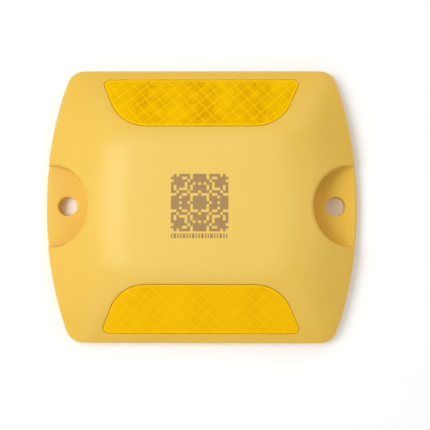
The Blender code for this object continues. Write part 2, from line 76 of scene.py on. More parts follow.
# Ears: the round pocket, its mouth and the anchor hole.
EAR_X = 55.5
EAR_RADIUS = 14.75
EAR_FLOOR = 4.5
EAR_DRAFT = math.tan(math.radians(5))
EAR_RIM = 1.2
HOLE_X = 49.2
HOLE_RADIUS = 3.5
HOLE_EDGE = 0.35
MOUTH_REACH = 6
MOUTH_BLEND = 0.6
MOUTH_ROUND = 1.1
FLOOR_BLEND = 2.0

# Reflector seats and sheets. SEAT_WALL is how wide the seat's steep wall is in plan.
SEAT_OUTER_Y = 46.2
SEAT_INNER_Y = 27.6
SEAT_HALF_LENGTH = 36.5
SEAT_LEAN = math.radians(24.5)
SEAT_OUTER_RADIUS = 2.0
SEAT_INNER_RADIUS = 14.3
SEAT_DEPTH = 1.6
SEAT_EDGE = 0.28
SEAT_WALL = 0.04
SHEET_GAP = 0.16
SHEET_LOW = -1.0
SHEET_TOP = -0.12
SHEET_ROUND = 0.12
PRISM_WIDE = 4.85
PRISM_TALL = 5.05

# Rings of the fine meshes: insets from the footprint's outline, from a seat's edge and from a sheet's edge
# (a negative inset is outside), radii round a hole, and steps out from the pocket's wall and its mouth.
RIM_RINGS = (0.03, 0.1, 0.2, 0.34, 0.52, 0.74, 1.0, 1.3, 1.8)
SEAT_RINGS = (-0.9, -0.5, -0.28, -0.18, -0.09, -0.03, 0, 0.04, 0.5)
SHEET_RINGS = (0.03, 0.1, 0.2, 0.5, 1.0)
HOLE_RINGS = (3.5, 3.52, 3.58, 3.66, 3.76, 3.87, 4.1)
WALL_RINGS = (-1, -0.45, -0.3, -0.18, -0.08, 0, 0.08, 0.18)
MOUTH_RINGS = (-0.4, -0.2, -0.1, 0, 0.04, 0.1, 0.2, 0.34, 0.52, 0.78, 1.1, 1.6)
POCKET_SWEEP = 93.5  # degrees either way from the middle of the marker
OUTLINE_CLEARANCE = 0.06

# Pitch of the meshes: along an outline, and between the free points inside it.
SHELL_STEP = 1.0
SHELL_PITCH = 1.25
SHEET_STEP = 0.8
SHEET_PITCH = 0.45

# Levels of the rings down the outer wall and the holes, and how far the outer wall is drawn in at each.
SIDE_LEVELS = ((2.6, 0), (0.35, 0), (0, 0.3))

# Foam pad: corner radius in plan, and how its faces lie under the CAD node's.
PAD_CORNER = 2
PAD_INSET = 0.02
PAD_EDGE = 0.5
PAD_EDGE_DROP = 0.25
PAD_UNEVEN = 0.03

# Leads and the edges of the cover.
LEAD_RADIUS = 0.6
COVER_ROUNDS_BELOW = 3

# Marking: a square block of cells with a row of bars in front of it.
MARK_CELLS = 21
MARK_WIDTH = 19.8
MARK_MIDDLE = (-0.1, 0.7)
MARK_SHARE = 0.52
MARK_OVERLAP = 0.01
MARK_PROUD = 0.015
MARK_SUNK = 0.03
BAR_WIDTHS = (0.5, 0.9, 0.5, 0.5, 0.9, 0.5)
BAR_GAP = 0.42
BAR_Y = -10.75
BAR_HALF_HEIGHT = 0.8
BAR_STOP = 9.6

# Pieces inside that only need small rounds: name, CAD node, material slot and width of the round.
SHARP_ANGLE = 32  # degrees
SOFTENED = (
    ("module_board", "radio_module_board", "board_green", 0.06),
    ("link_positive", "cell_link_positive", "nickel", 0.06),
    ("link_negative", "cell_link_negative", "nickel", 0.06),
    ("socket_housing", "battery_socket", "connector_white", 0.12),
)

# Colours of the casing by height, and the look of each reflector's film. The casing's colours paint light:
# the skirt colour is painted shade low down and on the pocket floors, the crown colour a painted sheen.
SKIRT_YELLOW_PAINTED_SHADE = (0.80, 0.485, 0.057)
SLOPE_YELLOW = (0.80, 0.512, 0.076)
CROWN_YELLOW_PAINTED_SHEEN = (0.80, 0.550, 0.118)
REAR_FILM = {
    "turn": 4.0, "move": (0.1, 0.2, 0), "contrast": 1.0,
    "bright": (0.93, 0.56, 0.001), "dark": (0.71, 0.35, 0.001),
}
FRONT_FILM = {
    "turn": -3.0, "move": (0.3, 0.1, 0), "contrast": 0.6,
    "bright": (0.96, 0.545, 0.003), "dark": (0.80, 0.40, 0.001),
}

# Camera: its place, the point it looks at and the direction that is up in its picture.
CAMERA_LENS = 65.14
CAMERA_PLACE = (8.2, -10.61, 290)
CAMERA_TARGET = (4.96, -3.0, 0)
CAMERA_UP = (-0.0014, 1, 0)

# Room. The floor's half width, the soft boxes' size and their distance are in metres.
FLOOR_SIZE = 1.6
FLOOR_DROP = 0.05
FLOOR_GLOW = 0.01
ROOM_STRENGTH = 0.05
BOX_SIZE = 0.34
BOX_DISTANCE = 0.7

# Soft boxes round the marker: azimuth from +X towards +Y and elevation, both in degrees, and power in
# watts. The key lights are high on the left, and the low boxes fill the slopes.
KEY = 2.0
MAIN = 1.0
FILL = 0.5
FAINT = 0.25
STUDIO = (
    (180, 56, KEY), (150, 56, MAIN), (0, 56, FAINT), (90, 56, FAINT), (270, 56, FAINT),
    (0, 32, MAIN), (60, 32, MAIN), (120, 32, FILL), (180, 32, FILL), (240, 32, MAIN), (300, 32, FILL),
)


# Numbers and shapes


def soft_min(a, b, blend):
    """The lower of two heights, with a round blend where they are close."""
    overlap = np.maximum(blend - np.abs(a - b), 0) / blend
    return np.minimum(a, b) - overlap**2 * blend / 4


def soft_max(a, b, blend):
    return -soft_min(-a, -b, blend)


def edge_drop(inwards, radius):
    """How far a rounded edge lies below its face, that far in from the edge."""
    short = np.clip(radius - inwards, 0, radius)
    return radius - np.sqrt(radius**2 - short**2)


def to_edges(x, y):
    """Distances in from the straight end and from the bowed side of the footprint."""
    end = WIDTH / 2 - np.abs(y)
    side = SIDE_RADIUS - np.hypot(np.abs(x) + SIDE_CENTRE, y)
    return end, side


def inwards_of(x, y):
    """Distance in from the footprint's outline."""
    end, side = to_edges(x, y)
    corner = CORNER_BLEND - np.hypot(CORNER_BLEND - end, CORNER_BLEND - side)
    return np.where(np.maximum(end, side) < CORNER_BLEND, corner, np.minimum(end, side))


def face_height(y):
    """Height of the flat slope that carries a reflector."""
    return SKIRT + (WIDTH / 2 - np.abs(y)) * FACE_TAN


def form_height(x, y):
    """Height of the casing's form before its edges, pockets and seats."""
    end, side = to_edges(x, y)
    crown = HEIGHT - (x**2 + y**2) / (2 * CROWN_RADIUS)
    blend = FACE_BLEND + HIP_GROWTH * np.maximum(np.abs(x) - FACE_FLAT, 0)
    return soft_min(soft_min(crown, SKIRT + side * SIDE_TAN, SHOULDER_BLEND), face_height(y), blend)


def ear_height(x, y):
    """The round pocket of an ear: a floor with a rounded rim, and a drafted wall."""
    wall = EAR_FLOOR + (np.hypot(np.abs(x) - EAR_X, y) - EAR_RADIUS) / EAR_DRAFT
    floor = EAR_FLOOR - edge_drop(inwards_of(x, y), EAR_RIM)
    return soft_max(floor, wall, FLOOR_BLEND)


def shell_height(x, y, seat_distance):
    """Height of the casing's skin. seat_distance is negative inside a reflector's seat."""
    outer = form_height(x, y) - edge_drop(inwards_of(x, y), RIM_RADIUS)
    outer -= edge_drop(mouth_distance(x, y), MOUTH_ROUND)
    z = soft_min(outer, ear_height(x, y), MOUTH_BLEND)
    z -= edge_drop(np.hypot(np.abs(x) - HOLE_X, y) - HOLE_RADIUS, HOLE_EDGE)
    z -= edge_drop(np.maximum(seat_distance, 0), SEAT_EDGE)
    sink = np.clip(-seat_distance / SEAT_WALL, 0, 1)
    return z + sink * (face_height(y) - SEAT_DEPTH - z)


def filleted(corners, radii, steps=16):
    """A closed outline whose corners are arcs of those radii."""
    outline = []
    for i, (corner, radius) in enumerate(zip(corners, radii)):
        back = (Vector(corners[i - 1]) - Vector(corner)).normalized()
        ahead = (Vector(corners[(i + 1) % len(corners)]) - Vector(corner)).normalized()
        half = back.angle(ahead) / 2
        centre = Vector(corner) + (back + ahead).normalized() * radius / math.sin(half)
        first = Vector(corner) + back * radius / math.tan(half) - centre
        last = Vector(corner) + ahead * radius / math.tan(half) - centre
        turn = math.atan2(first.cross(last), first.dot(last))
        for step in range(steps + 1):
            outline.append(centre + Matrix.Rotation(turn * step / steps, 2) @ first)
    return np.array(outline)


def seat_outline(inset, end):
    """Plan of a reflector's seat, drawn in by inset. end is 1 at the rear and -1 in front."""
    outer = SEAT_OUTER_Y - inset
    inner = SEAT_INNER_Y + inset
    halves = []
    for y in (outer, inner):
        lean = (SEAT_OUTER_Y - y) * math.tan(SEAT_LEAN)
        halves.append(SEAT_HALF_LENGTH - lean - inset / math.cos(SEAT_LEAN))
    corners = [(-halves[0], outer), (halves[0], outer), (halves[1], inner), (-halves[1], inner)]
    small, large = SEAT_OUTER_RADIUS - inset, SEAT_INNER_RADIUS - inset
    outline = filleted(corners, [small, small, large, large])
    return outline * (1, end)


def divided(loop, spacing):
    """The closed loop with its long edges divided."""
    points = []
    for a, b in zip(loop, np.roll(loop, -1, axis=0)):
        steps = max(1, round(np.linalg.norm(b - a) / spacing))
        points += [a + (b - a) * step / steps for step in range(steps)]
    return np.array(points)


def signed_distance(points, loop):
    """Distance of each point from a closed loop, negative inside it."""
    a, b = loop, np.roll(loop, -1, axis=0)
    along = b - a
    square = np.maximum((along**2).sum(1), 1e-12)
    nearest = np.full(len(points), np.inf)
    inside = np.zeros(len(points), bool)
    for start, step, length, finish in zip(a, along, square, b):
        offset = points - start
        share = np.clip(offset @ step / length, 0, 1)
        nearest = np.minimum(nearest, ((offset - share[:, None] * step) ** 2).sum(1))
        crosses = (start[1] > points[:, 1]) != (finish[1] > points[:, 1])
        if crosses.any():
            where = start[0] + (points[:, 1] - start[1]) * step[0] / (step[1] or 1e-12)
            inside ^= crosses & (points[:, 0] < where)
    return np.sqrt(nearest) * np.where(inside, -1, 1)


def rim_ring(inset):
    """The footprint's outline drawn in by inset, with the same points at any inset."""
    quarter = []
    for y in np.linspace(0, WIDTH / 2 - CORNER_BLEND, 52)[:-1]:
        quarter.append((math.sqrt((SIDE_RADIUS - inset) ** 2 - y**2) - SIDE_CENTRE, y))
    for turn in np.linspace(0, math.pi / 2, 12):
        end = CORNER_BLEND - (CORNER_BLEND - inset) * math.sin(turn)
        side = CORNER_BLEND - (CORNER_BLEND - inset) * math.cos(turn)
        y = WIDTH / 2 - end
        quarter.append((math.sqrt((SIDE_RADIUS - side) ** 2 - y**2) - SIDE_CENTRE, y))
    last = quarter[-1][0]
    quarter += [(x, WIDTH / 2 - inset) for x in np.linspace(last, 0, 42)[1:]]
    quarter = np.array(quarter)
    upper = np.vstack([quarter, quarter[-2::-1] * (-1, 1)])
    return np.vstack([upper, upper[-2:0:-1] * (1, -1)])


def mouth_radius(angle):
    """How far from an ear's middle the pocket's wall meets the casing, in that direction."""
    low, high = EAR_RADIUS, EAR_RADIUS + MOUTH_REACH
    for _ in range(30):
        radius = (low + high) / 2
        x = EAR_X - radius * math.cos(angle)
        y = radius * math.sin(angle)
        wall = EAR_FLOOR + (radius - EAR_RADIUS) / EAR_DRAFT
        low, high = (radius, high) if wall < form_height(x, y) else (low, radius)
    return radius


def mouth_distance(x, y):
    """How far outside the mouth of its ear's pocket each point is."""
    angles = np.radians(np.linspace(0, 180, 181))
    mouths = np.array([mouth_radius(angle) for angle in angles])
    angle = np.arctan2(np.abs(y), EAR_X - np.abs(x))
    return np.hypot(np.abs(x) - EAR_X, y) - np.interp(angle, angles, mouths)


def ear_rings(sign):
    """Arcs that follow the pocket's floor fillet, its wall and its rounded mouth."""
    angles = np.radians(np.linspace(-POCKET_SWEEP, POCKET_SWEEP, 121))
    mouths = np.array([mouth_radius(angle) for angle in angles])
    radii = [np.full(len(angles), EAR_RADIUS + step) for step in WALL_RINGS]
    for share in (0.4, 0.7):
        rise = mouths + MOUTH_RINGS[0] - EAR_RADIUS - WALL_RINGS[-1]
        radii.append(EAR_RADIUS + WALL_RINGS[-1] + rise * share)
    radii += [mouths + step for step in MOUTH_RINGS]
    rings = []
    for radius in radii:
        x = EAR_X - radius * np.cos(angles)
        y = radius * np.sin(angles)
        inside = inwards_of(x, y) > OUTLINE_CLEARANCE
        rings.append(np.column_stack([sign * x, y])[inside])
    return rings


def triangulated(outline, loops, arcs, free):
    """Plan triangles inside outline that keep every loop and arc as edges."""
    points, edges = [], []
    lines = [(outline, True)] + [(loop, True) for loop in loops] + [(arc, False) for arc in arcs]
    for line, closed in lines:
        first = len(points)
        points += [Vector(point) for point in line]
        edges += [(i, i + 1) for i in range(first, len(points) - 1)]
        if closed:
            edges.append((len(points) - 1, first))
    points += [Vector(point) for point in free]
    face = [list(range(len(outline)))]
    plan = delaunay_2d_cdt(points, edges, face, 1, 1e-4, False)
    return np.array(plan[0]), [list(face) for face in plan[2]]


def grid_points(low, high, spacing):
    """Points between two corners, with every other row shifted by half a step."""
    xs = np.arange(low[0], high[0], spacing)
    ys = np.arange(low[1], high[1], spacing)
    return np.array([(x + (j % 2) * spacing / 2, y) for j, y in enumerate(ys) for x in xs])


# Objects and materials


def add_object(name, mesh, material, sharp=30):
    """An object of that mesh, shaded smooth except at edges sharper than sharp degrees."""
    mesh.shade_smooth()
    mesh.set_sharp_from_angle(angle=math.radians(sharp))
    obj = bpy.data.objects.new(name, mesh)
    bpy.context.scene.collection.objects.link(obj)
    mesh.materials.append(material)
    return obj


def mesh_from(name, bm):
    """The bmesh as a mesh whose faces all point outwards."""
    bmesh.ops.recalc_face_normals(bm, faces=bm.faces)
    mesh = bpy.data.meshes.new(name)
    bm.to_mesh(mesh)
    bm.free()
    return mesh


def install(obj, node):
    """Puts a piece on the marker's body, in place of a CAD node if one is given."""
    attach(obj, BODY)
    if node:
        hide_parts(node)


class Nodes:
    """Short calls for wiring a material's nodes."""

    def __init__(self, name):
        self.material = bpy.data.materials.new(name)
        self.material.use_nodes = True
        self.tree = self.material.node_tree
        self.shader = self.tree.nodes["Principled BSDF"]
        place = self.tree.nodes.new("ShaderNodeTexCoord")
        self.place = place.outputs["Object"]

    def set(self, **values):
        for name, value in values.items():
            socket = self.shader.inputs[name.replace("_", " ")]
            if isinstance(value, bpy.types.NodeSocket):
                self.tree.links.new(value, socket)
            else:
                socket.default_value = (*value, 1) if isinstance(value, tuple) and len(value) == 3 else value

    def node(self, kind, inputs, output=0, **settings):
        made = self.tree.nodes.new(kind)
        for name, value in settings.items():
            setattr(made, name, value)
        for key, value in inputs.items():
            if isinstance(value, bpy.types.NodeSocket):
                self.tree.links.new(value, made.inputs[key])
            else:
                made.inputs[key].default_value = value
        return made.outputs[output]

    def math(self, operation, a, b=0.0, c=0.0):
        return self.node("ShaderNodeMath", {0: a, 1: b, 2: c}, operation=operation)

    def split(self, vector, axis):
        return self.node("ShaderNodeSeparateXYZ", {0: vector}, output=axis)

    def scaled(self, scale, turn=0.0, move=(0, 0, 0)):
        return self.node("ShaderNodeMapping", {
            "Vector": self.place, "Location": move, "Rotation": (0, 0, turn), "Scale": scale})

    def noise(self, size, detail=2.0, rough=0.5, vector=None):
        """Noise whose features are about size millimetres across."""
        return self.node("ShaderNodeTexNoise", {
            "Vector": vector or self.place, "Scale": 1 / (size * MM), "Detail": detail, "Roughness": rough})

    def mix(self, share, a, b):
        made = self.tree.nodes.new("ShaderNodeMix")
        made.data_type = "RGBA"
        for socket, value in ((made.inputs[0], share), (made.inputs[6], a), (made.inputs[7], b)):
            if isinstance(value, bpy.types.NodeSocket):
                self.tree.links.new(value, socket)
            else:
                socket.default_value = (*value, 1) if isinstance(value, tuple) else value
        return made.outputs[2]

    def spread(self, value, low, high, to_low=0.0, to_high=1.0):
        return self.node("ShaderNodeMapRange", {
            "Value": value, "From Min": low, "From Max": high, "To Min": to_low, "To Max": to_high})

    def bump(self, height, distance, strength):
        """Relief that is distance millimetres deep."""
        return self.node("ShaderNodeBump", {
            "Height": height, "Distance": distance * MM, "Strength": strength})


def casing_material():
    """Moulded plastic with faint clouds and a fine grain. Its colour by height is painted light: a deeper
    yellow low down as painted shade, paler on the crown as a painted sheen.
    """
    n = Nodes("casing_plastic")
    cloud = n.noise(28, detail=2)
    grain = n.noise(0.55, detail=3, rough=0.6)
    speck = n.noise(0.18, detail=1)
    rise = n.split(n.place, 2)
    # Painted shade: the lower casing, pocket floors included, gets a deeper, more saturated yellow.
    slope = n.mix(n.spread(rise, 3 * MM, 13 * MM), SKIRT_YELLOW_PAINTED_SHADE, SLOPE_YELLOW)
    # Painted sheen: the crown is paler, like the overhead light's reflection on it.
    painted_light_tone = n.mix(n.spread(rise, 19.3 * MM, 21.3 * MM), slope, CROWN_YELLOW_PAINTED_SHEEN)
    painted_light_tone = n.mix(n.spread(cloud, 0.35, 0.65, 0.0, 0.12), painted_light_tone, (0.88, 0.60, 0.12))
    painted_light_tone = n.mix(n.spread(grain, 0.35, 0.7, 0.0, 0.12), painted_light_tone, (0.66, 0.40, 0.04))
    n.set(Base_Color=painted_light_tone, Specular_IOR_Level=0.32, Roughness=n.spread(cloud, 0.3, 0.7, 0.38, 0.43))
    height = n.math("ADD", grain, n.math("MULTIPLY", speck, 0.5))
    n.set(Normal=n.bump(height, 0.012, 0.5))
    return n.material


def reflector_material(name, turn, move, contrast, bright, dark):
    """Prismatic film: rounded diamond cells between paler seal lines. turn is in degrees."""
    n = Nodes(name)
    place = n.scaled((1 / (PRISM_WIDE * MM), 1 / (PRISM_TALL * MM), 1), math.radians(turn), move)
    u, v = n.split(place, 0), n.split(place, 1)
    a, b = n.math("ADD", u, v), n.math("SUBTRACT", u, v)
    wave_a = n.math("MULTIPLY", n.math("SINE", n.math("MULTIPLY", b, 2 * math.pi)), 0.04)
    wave_b = n.math("MULTIPLY", n.math("SINE", n.math("MULTIPLY", a, 2 * math.pi)), 0.04)
    lines = []
    for value in (n.math("ADD", a, wave_a), n.math("SUBTRACT", b, wave_b)):
        lines.append(n.math("PINGPONG", value, 0.5))
    near = n.math("MINIMUM", *lines)
    cell = n.node("ShaderNodeMapRange", {
        "Value": near, "From Min": 0.02, "From Max": 0.075, "To Min": 0.0, "To Max": 1.0},
        interpolation_type="SMOOTHSTEP")
    border = n.node("ShaderNodeAttribute", {}, output=2, attribute_name="border")
    cell = n.math("MULTIPLY", cell, n.spread(border, 0.45, 0.9))
    x = n.split(n.place, 0)
    sweep = n.math("COSINE", n.math("MULTIPLY", x, 2 * math.pi / (19.4 * MM)))
    band = n.math("MULTIPLY_ADD", sweep, 0.22, 0.78)
    patch = n.spread(n.noise(7, detail=1), 0.3, 0.7, 0.7, 1.1)
    fine = n.spread(n.noise(0.8, detail=2), 0.25, 0.75, 0.75, 1.15)
    share = n.math("MULTIPLY", n.math("MULTIPLY", cell, band), n.math("MULTIPLY", patch, fine))
    own = n.node("ShaderNodeTexWhiteNoise", {
        "Vector": n.node("ShaderNodeCombineXYZ", {"X": n.math("ROUND", a), "Y": n.math("ROUND", b)})},
        noise_dimensions="2D")
    share = n.math("MULTIPLY", share, n.spread(own, 0, 1, 0.65 * contrast, 1.1 * contrast))
    colour = n.mix(share, bright, dark)
    n.set(Base_Color=colour, Roughness=n.spread(fine, 0.75, 1.15, 0.26, 0.34), Specular_IOR_Level=0.03)
    n.set(Normal=n.bump(cell, 0.02, 0.35))
    return n.material


def plain_material(name, colour, roughness, grain=0.4, depth=0.01, shift=0.85):
    """A matt surface speckled down to shift times its colour. grain and depth are in millimetres."""
    n = Nodes(name)
    speckle = n.noise(grain, detail=3, rough=0.6)
    darker = tuple(channel * shift for channel in colour)
    n.set(Base_Color=n.mix(n.spread(speckle, 0.3, 0.7), darker, colour))
    n.set(Roughness=n.spread(speckle, 0.3, 0.7, roughness * 0.9, roughness * 1.1))
    n.set(Normal=n.bump(speckle, depth, 0.5))
    return n.material


def metal_material(name, colour, roughness, brushed=(1, 1, 1)):
    """Bare metal. A small number in brushed draws the streaks out along that axis."""
    n = Nodes(name)
    streak = n.noise(0.5, detail=4, rough=0.65, vector=n.scaled(brushed))
    cloud = n.noise(4, detail=2)
    darker = tuple(channel * 0.86 for channel in colour)
    n.set(Base_Color=n.mix(n.spread(cloud, 0.3, 0.7), darker, colour), Metallic=1.0)
    n.set(Roughness=n.spread(streak, 0.25, 0.75, roughness * 0.75, roughness * 1.25))
    n.set(Normal=n.bump(streak, 0.003, 0.5))
    return n.material


def board_material():
    """Green mask over copper tracks that run both ways, with round pads."""
    n = Nodes("board_mask")
    copper = 0.0
    for axis, pitch in ((0, 1.1), (1, 0.9)):
        along = n.math("DIVIDE", n.split(n.place, axis), pitch * MM)
        line = n.spread(n.math("PINGPONG", along, 0.5), 0.33, 0.37)
        stretch = (0.25, 1, 1) if axis else (1, 0.25, 1)
        gate = n.spread(n.noise(2.4, detail=0, vector=n.scaled(stretch)), 0.52, 0.54)
        copper = n.math("MAXIMUM", copper, n.math("MULTIPLY", line, gate))
    holes = n.node("ShaderNodeTexVoronoi", {"Vector": n.place, "Scale": 1 / (3.4 * MM), "Randomness": 0.6})
    pad = n.spread(holes, 0.16, 0.13)
    mask = n.mix(copper, (0.008, 0.085, 0.035), (0.02, 0.17, 0.06))
    speckle = n.noise(0.3, detail=2)
    colour = n.mix(pad, mask, (0.70, 0.55, 0.24))
    n.set(Base_Color=colour, Metallic=n.math("MULTIPLY", pad, 0.9))
    n.set(Roughness=n.spread(speckle, 0.3, 0.7, 0.28, 0.4), Coat_Weight=0.3)
    n.set(Normal=n.bump(n.math("MAXIMUM", copper, pad), 0.03, 0.5))
    return n.material


def foam_material():
    """Black foam with open pores."""
    n = Nodes("open_cell_foam")
    pores = n.node("ShaderNodeTexVoronoi", {"Vector": n.place, "Scale": 1 / (0.55 * MM)})
    fine = n.noise(0.2, detail=2)
    open_cell = n.spread(pores, 0.15, 0.5)
    n.set(Base_Color=n.mix(open_cell, (0.004, 0.004, 0.004), (0.045, 0.045, 0.047)))
    n.set(Roughness=n.spread(fine, 0.2, 0.8, 0.85, 1.0), Specular_IOR_Level=0.2)
    n.set(Normal=n.bump(open_cell, 0.15, 0.8))
    return n.material


def cell_material():
    """A shrink sleeve with a paler band, bare metal beyond its ends."""
    n = Nodes("sleeve_and_can")
    x = n.split(n.place, 0)
    from_middle = n.math("ABSOLUTE", x)
    bare = n.spread(from_middle, 23.9 * MM, 24.0 * MM)
    band = n.spread(n.math("ABSOLUTE", n.math("SUBTRACT", x, 14 * MM)), 2.1 * MM, 2.0 * MM)
    wrinkle = n.noise(2.2, detail=3, vector=n.scaled((4, 1, 1)))
    sleeve = n.mix(n.spread(wrinkle, 0.3, 0.7), (0.035, 0.125, 0.29), (0.055, 0.17, 0.37))
    sleeve = n.mix(band, sleeve, (0.78, 0.79, 0.80))
    n.set(Base_Color=n.mix(bare, sleeve, (0.66, 0.65, 0.63)), Metallic=bare)
    n.set(Roughness=n.spread(wrinkle, 0.3, 0.7, 0.24, 0.36))
    n.set(Normal=n.bump(wrinkle, 0.02, 0.4))
    return n.material


def ceramic_material():
    """Pale fired body between plated ends."""
    n = Nodes("ceramic_body")
    low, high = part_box("chip_antenna")
    across = n.math("ABSOLUTE", n.math("SUBTRACT", n.split(n.place, 1), (low.y + high.y) / 2))
    half = (high.y - low.y) / 2
    plated = n.spread(across, half - 0.75 * MM, half - 0.70 * MM)
    grain = n.noise(0.15, detail=3)
    body = n.mix(n.spread(grain, 0.3, 0.7), (0.62, 0.58, 0.50), (0.72, 0.68, 0.60))
    n.set(Base_Color=n.mix(plated, body, (0.68, 0.67, 0.65)), Metallic=plated)
    n.set(Roughness=n.spread(grain, 0.3, 0.7, 0.38, 0.5), Normal=n.bump(grain, 0.004, 0.5))
    return n.material


def lens_material():
    """Clear resin with a faint swirl."""
    n = Nodes("clear_resin")
    swirl = n.noise(1.2, detail=2)
    n.set(Base_Color=n.mix(n.spread(swirl, 0.3, 0.7), (0.72, 0.86, 0.74), (0.85, 0.93, 0.84)))
    n.set(Roughness=n.spread(swirl, 0.3, 0.7, 0.06, 0.14), Transmission_Weight=0.75, IOR=1.5)
    n.set(Normal=n.bump(swirl, 0.004, 0.4))
    return n.material


def finish_materials(casing):
    """One material for each slot of the record."""
    return {
        "casing_yellow": casing,
        "reflector_yellow": plain_material("film_plain", (0.88, 0.50, 0.005), 0.3),
        "adhesive_white": plain_material("acrylic_foam", (0.80, 0.79, 0.75), 0.75, grain=0.25, depth=0.02),
        "gasket_grey": plain_material(
            "silicone", (0.10, 0.10, 0.11), 0.55, grain=0.35, depth=0.006, shift=0.7),
        "foam_black": foam_material(),
        "steel": metal_material("stainless", (0.62, 0.61, 0.59), 0.3),
        "nickel": metal_material("nickel_strip", (0.66, 0.63, 0.56), 0.26, (1, 0.12, 1)),
        "board_green": board_material(),
        "module_black": plain_material("black_moulding", (0.022, 0.022, 0.026), 0.5, grain=0.3, shift=0.5),
        "ceramic": ceramic_material(),
        "connector_white": plain_material(
            "nylon", (0.80, 0.78, 0.70), 0.45, grain=0.6, depth=0.006, shift=0.9),
        "aluminium_can": metal_material("drawn_can", (0.76, 0.76, 0.77), 0.32, (1, 1, 0.08)),
        "led_clear": lens_material(),
        "cell_sleeve": cell_material(),
        "lead_red": plain_material(
            "red_insulation", (0.52, 0.018, 0.015), 0.42, grain=0.5, depth=0.006, shift=0.75),
        "lead_black": plain_material(
            "black_insulation", (0.02, 0.02, 0.02), 0.45, grain=0.5, depth=0.006, shift=0.5),
    }


# Pieces


def node_bmesh(node):
    """The CAD node's mesh as a new bmesh with its shared corners joined."""
    source = frame["nodes"][node]
    bm = bmesh.new()
    bm.from_mesh(source.data)
    bm.transform(source.matrix_world)
    bmesh.ops.remove_doubles(bm, verts=bm.verts, dist=0.002 * MM)
    return bm


def add_hollow(bm):
    """Adds the casing's hollow (rebate, groove, bosses and cavity), which is the CAD node's own."""
    hollow = node_bmesh("top_shell")
    foot = [face for face in hollow.faces if max(vert.co.z for vert in face.verts) < 0.01 * MM]
    bmesh.ops.delete(hollow, geom=foot, context="FACES")
    skin = {max(hollow.verts, key=lambda vert: vert.co.z)}
    edge_of_skin = list(skin)
    while edge_of_skin:
        vert = edge_of_skin.pop()
        for edge in vert.link_edges:
            other = edge.other_vert(vert)
            if other not in skin:
                skin.add(other)
                edge_of_skin.append(other)
    bmesh.ops.delete(hollow, geom=list(skin), context="VERTS")
    inside = bpy.data.meshes.new("hollow")
    hollow.to_mesh(inside)
    hollow.free()
    bm.from_mesh(inside)
    bpy.data.meshes.remove(inside)


def make_softened(name, node, material, width, below=math.inf):
    """The CAD node with small rounds along its sharp edges, as far up as below."""
    bm = node_bmesh(node)
    bmesh.ops.dissolve_limit(bm, angle_limit=math.radians(0.5), verts=bm.verts, edges=bm.edges)
    sharp = []
    for edge in bm.edges:
        if len(edge.link_faces) == 2 and edge.calc_face_angle(0) > math.radians(SHARP_ANGLE):
            if all((vert.co / MM).z < below for vert in edge.verts):
                sharp.append(edge)
    bmesh.ops.bevel(
        bm, geom=sharp, offset=width * MM, offset_type="OFFSET", segments=2, profile=0.5,
        affect="EDGES", clamp_overlap=True)
    bmesh.ops.dissolve_degenerate(bm, dist=0.002 * MM, edges=bm.edges)
    bmesh.ops.triangulate(bm, faces=bm.faces)
    install(add_object(name, mesh_from(name, bm), material, sharp=SHARP_ANGLE), node)


def make_foam_pad(material):
    """A slab of open cell foam with rounded edges and slightly uneven faces."""
    low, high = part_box("cell_foam_pad")
    middle, size = (low + high) / 2, high - low
    bm = bmesh.new()
    bmesh.ops.create_grid(bm, x_segments=92, y_segments=54, size=0.5)
    rng = np.random.default_rng(3)
    for vert in bm.verts:
        x, y = vert.co.x * (size.x / MM), vert.co.y * (size.y / MM)
        over_x = max(abs(x) - size.x / MM / 2 + PAD_CORNER, 0)
        over_y = max(abs(y) - size.y / MM / 2 + PAD_CORNER, 0)
        reach = math.hypot(over_x, over_y)
        if reach > PAD_CORNER:
            x -= math.copysign(over_x * (1 - PAD_CORNER / reach), x)
            y -= math.copysign(over_y * (1 - PAD_CORNER / reach), y)
        edge = PAD_CORNER - min(reach, PAD_CORNER)
        drop = PAD_EDGE_DROP * max(0, 1 - edge / PAD_EDGE) ** 2
        vert.co = (x, y, 0.5 * size.z / MM - PAD_INSET - drop - rng.uniform(0, PAD_UNEVEN))
    top = list(bm.faces)
    under = bmesh.ops.duplicate(bm, geom=bm.verts[:] + bm.edges[:] + top)
    for item in under["geom"]:
        if isinstance(item, bmesh.types.BMVert):
            item.co.z *= -1
    rims = [edge for edge in bm.edges if edge.is_boundary]
    bmesh.ops.bridge_loops(bm, edges=rims)
    bmesh.ops.scale(bm, vec=(MM, MM, MM), verts=bm.verts)
    bmesh.ops.translate(bm, vec=middle, verts=bm.verts)
    pad = add_object("foam_pad", mesh_from("foam_pad", bm), material, sharp=60)
    install(pad, "cell_foam_pad")


def smooth_route(points, steps=10):
    """Points along a Catmull-Rom curve through the given ones."""
    ends = [2 * points[0] - points[1], *points, 2 * points[-1] - points[-2]]
    curve = []
    for a, b, c, d in zip(ends, ends[1:], ends[2:], ends[3:]):
        for step in range(steps):
            t = step / steps
            bend = (3 * (b - c) + d - a) * t + 2 * a - 5 * b + 4 * c - d
            curve.append(b + 0.5 * t * (c - a + t * bend))
    return curve + [points[-1]]


